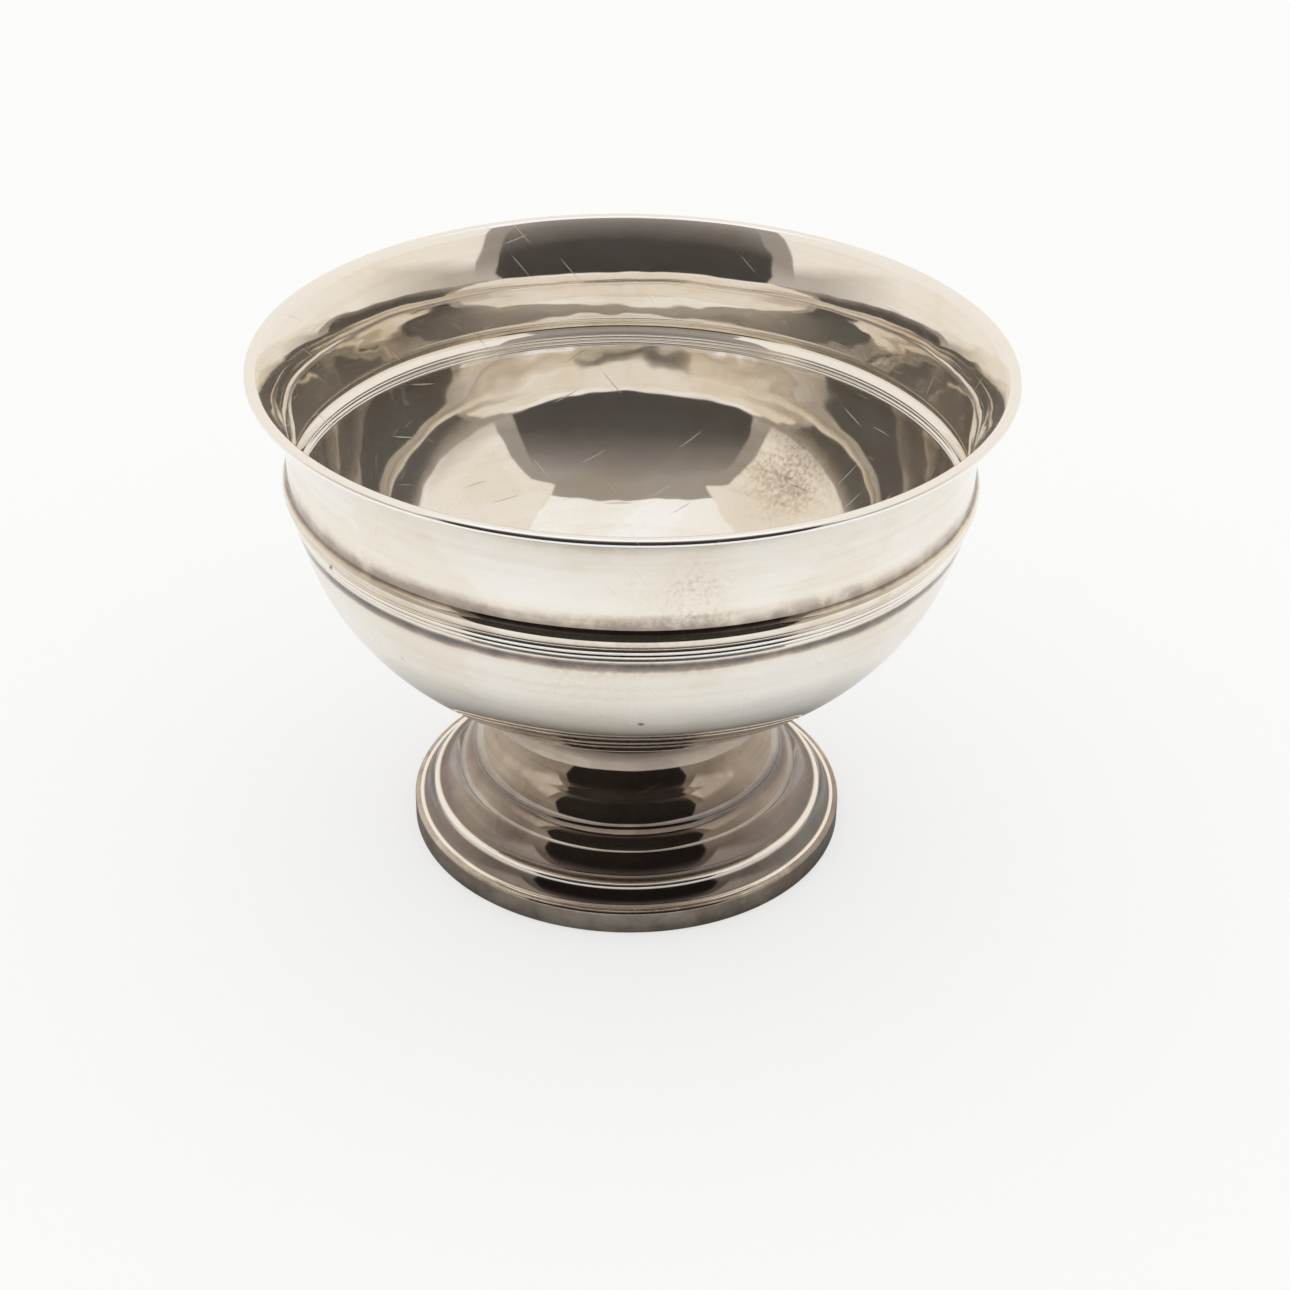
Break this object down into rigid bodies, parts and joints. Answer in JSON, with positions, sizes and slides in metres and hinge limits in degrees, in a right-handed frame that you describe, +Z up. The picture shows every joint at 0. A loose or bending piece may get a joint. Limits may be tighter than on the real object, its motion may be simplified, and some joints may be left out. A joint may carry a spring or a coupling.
{
  "type": "pedestal sugar bowl",
  "caption": "Round silver sugar bowl with a flared lip and reeded girdle, on a stepped hollow pedestal foot.",
  "frame": {"origin": "centre of the foot's base, on the plane the bowl stands on", "axes": "+Z up along the axis of revolution; X and Y lie in the table's plane, -Y towards the viewer of the picture"},
  "size_m": [0.12, 0.12, 0.085],
  "materials": {
    "silver_sheet": "polished, softly worn and lightly tarnished",
    "silver_wire": "polished, worn bright on its edges",
    "silver_solder": "dull, slightly yellow and tarnished"
  },
  "bodies": {
    "root": {"bowl_body": "silver_sheet", "rim_wire": "silver_wire", "rim_solder": "silver_solder", "foot_shell": "silver_sheet", "foot_solder": "silver_solder", "base_wire": "silver_wire", "base_solder": "silver_solder"}
  },
  "joints": []
}
